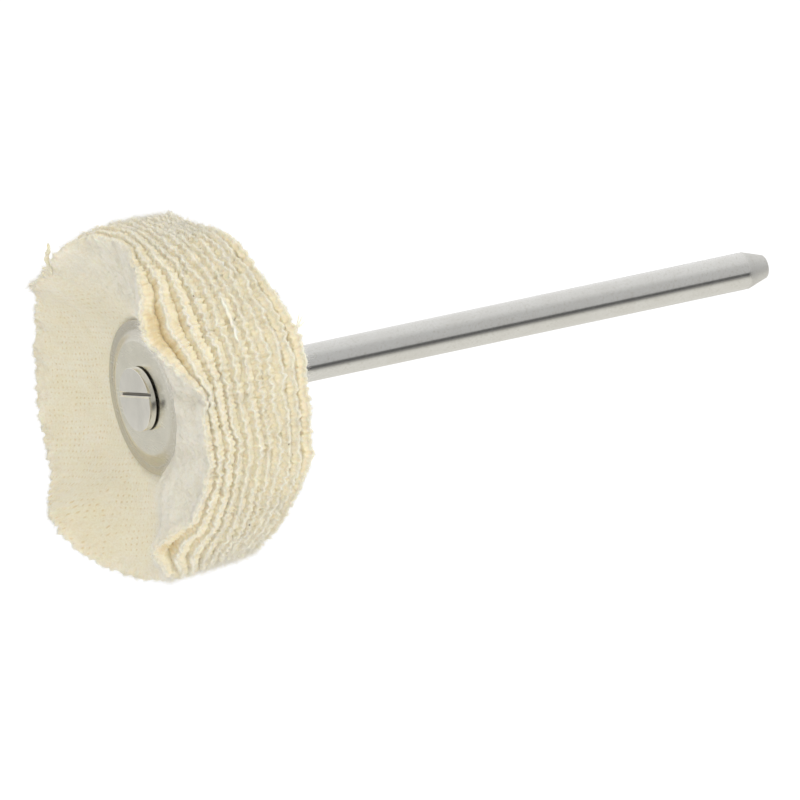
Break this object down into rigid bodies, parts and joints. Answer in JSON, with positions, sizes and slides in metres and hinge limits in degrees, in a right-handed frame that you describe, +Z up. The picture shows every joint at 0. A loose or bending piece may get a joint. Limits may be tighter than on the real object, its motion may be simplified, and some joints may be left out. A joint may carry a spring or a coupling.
{
  "type": "mounted cloth polishing wheel",
  "caption": "Small mounted polishing wheel: a stack of soft woven cloth discs clamped between dished washers on a thin plain steel shank.",
  "frame": {"origin": "centre of the shank's flat free end, where it butts in a collet", "axes": "+Y along the spin axis, out of the shank's free end; the cloth wheel lies toward -Y; +Z up as pictured"},
  "size_m": [0.0226, 0.0493, 0.0227],
  "materials": {
    "shank_steel": "ground, satin",
    "nickel": "nickel plated, polished",
    "cotton_cloth": "unbleached woven cotton, napped"
  },
  "bodies": {
    "root": {"mandrel": "shank_steel", "rear_collar": "shank_steel", "rear_washer": "nickel", "cloth_ply_01": "cotton_cloth", "cloth_ply_02": "cotton_cloth", "cloth_ply_03": "cotton_cloth", "cloth_ply_04": "cotton_cloth", "cloth_ply_05": "cotton_cloth", "cloth_ply_06": "cotton_cloth", "cloth_ply_07": "cotton_cloth", "cloth_ply_08": "cotton_cloth", "cloth_ply_09": "cotton_cloth", "cloth_ply_10": "cotton_cloth", "cloth_ply_11": "cotton_cloth", "front_washer": "nickel", "clamp_screw": "nickel"}
  },
  "joints": []
}
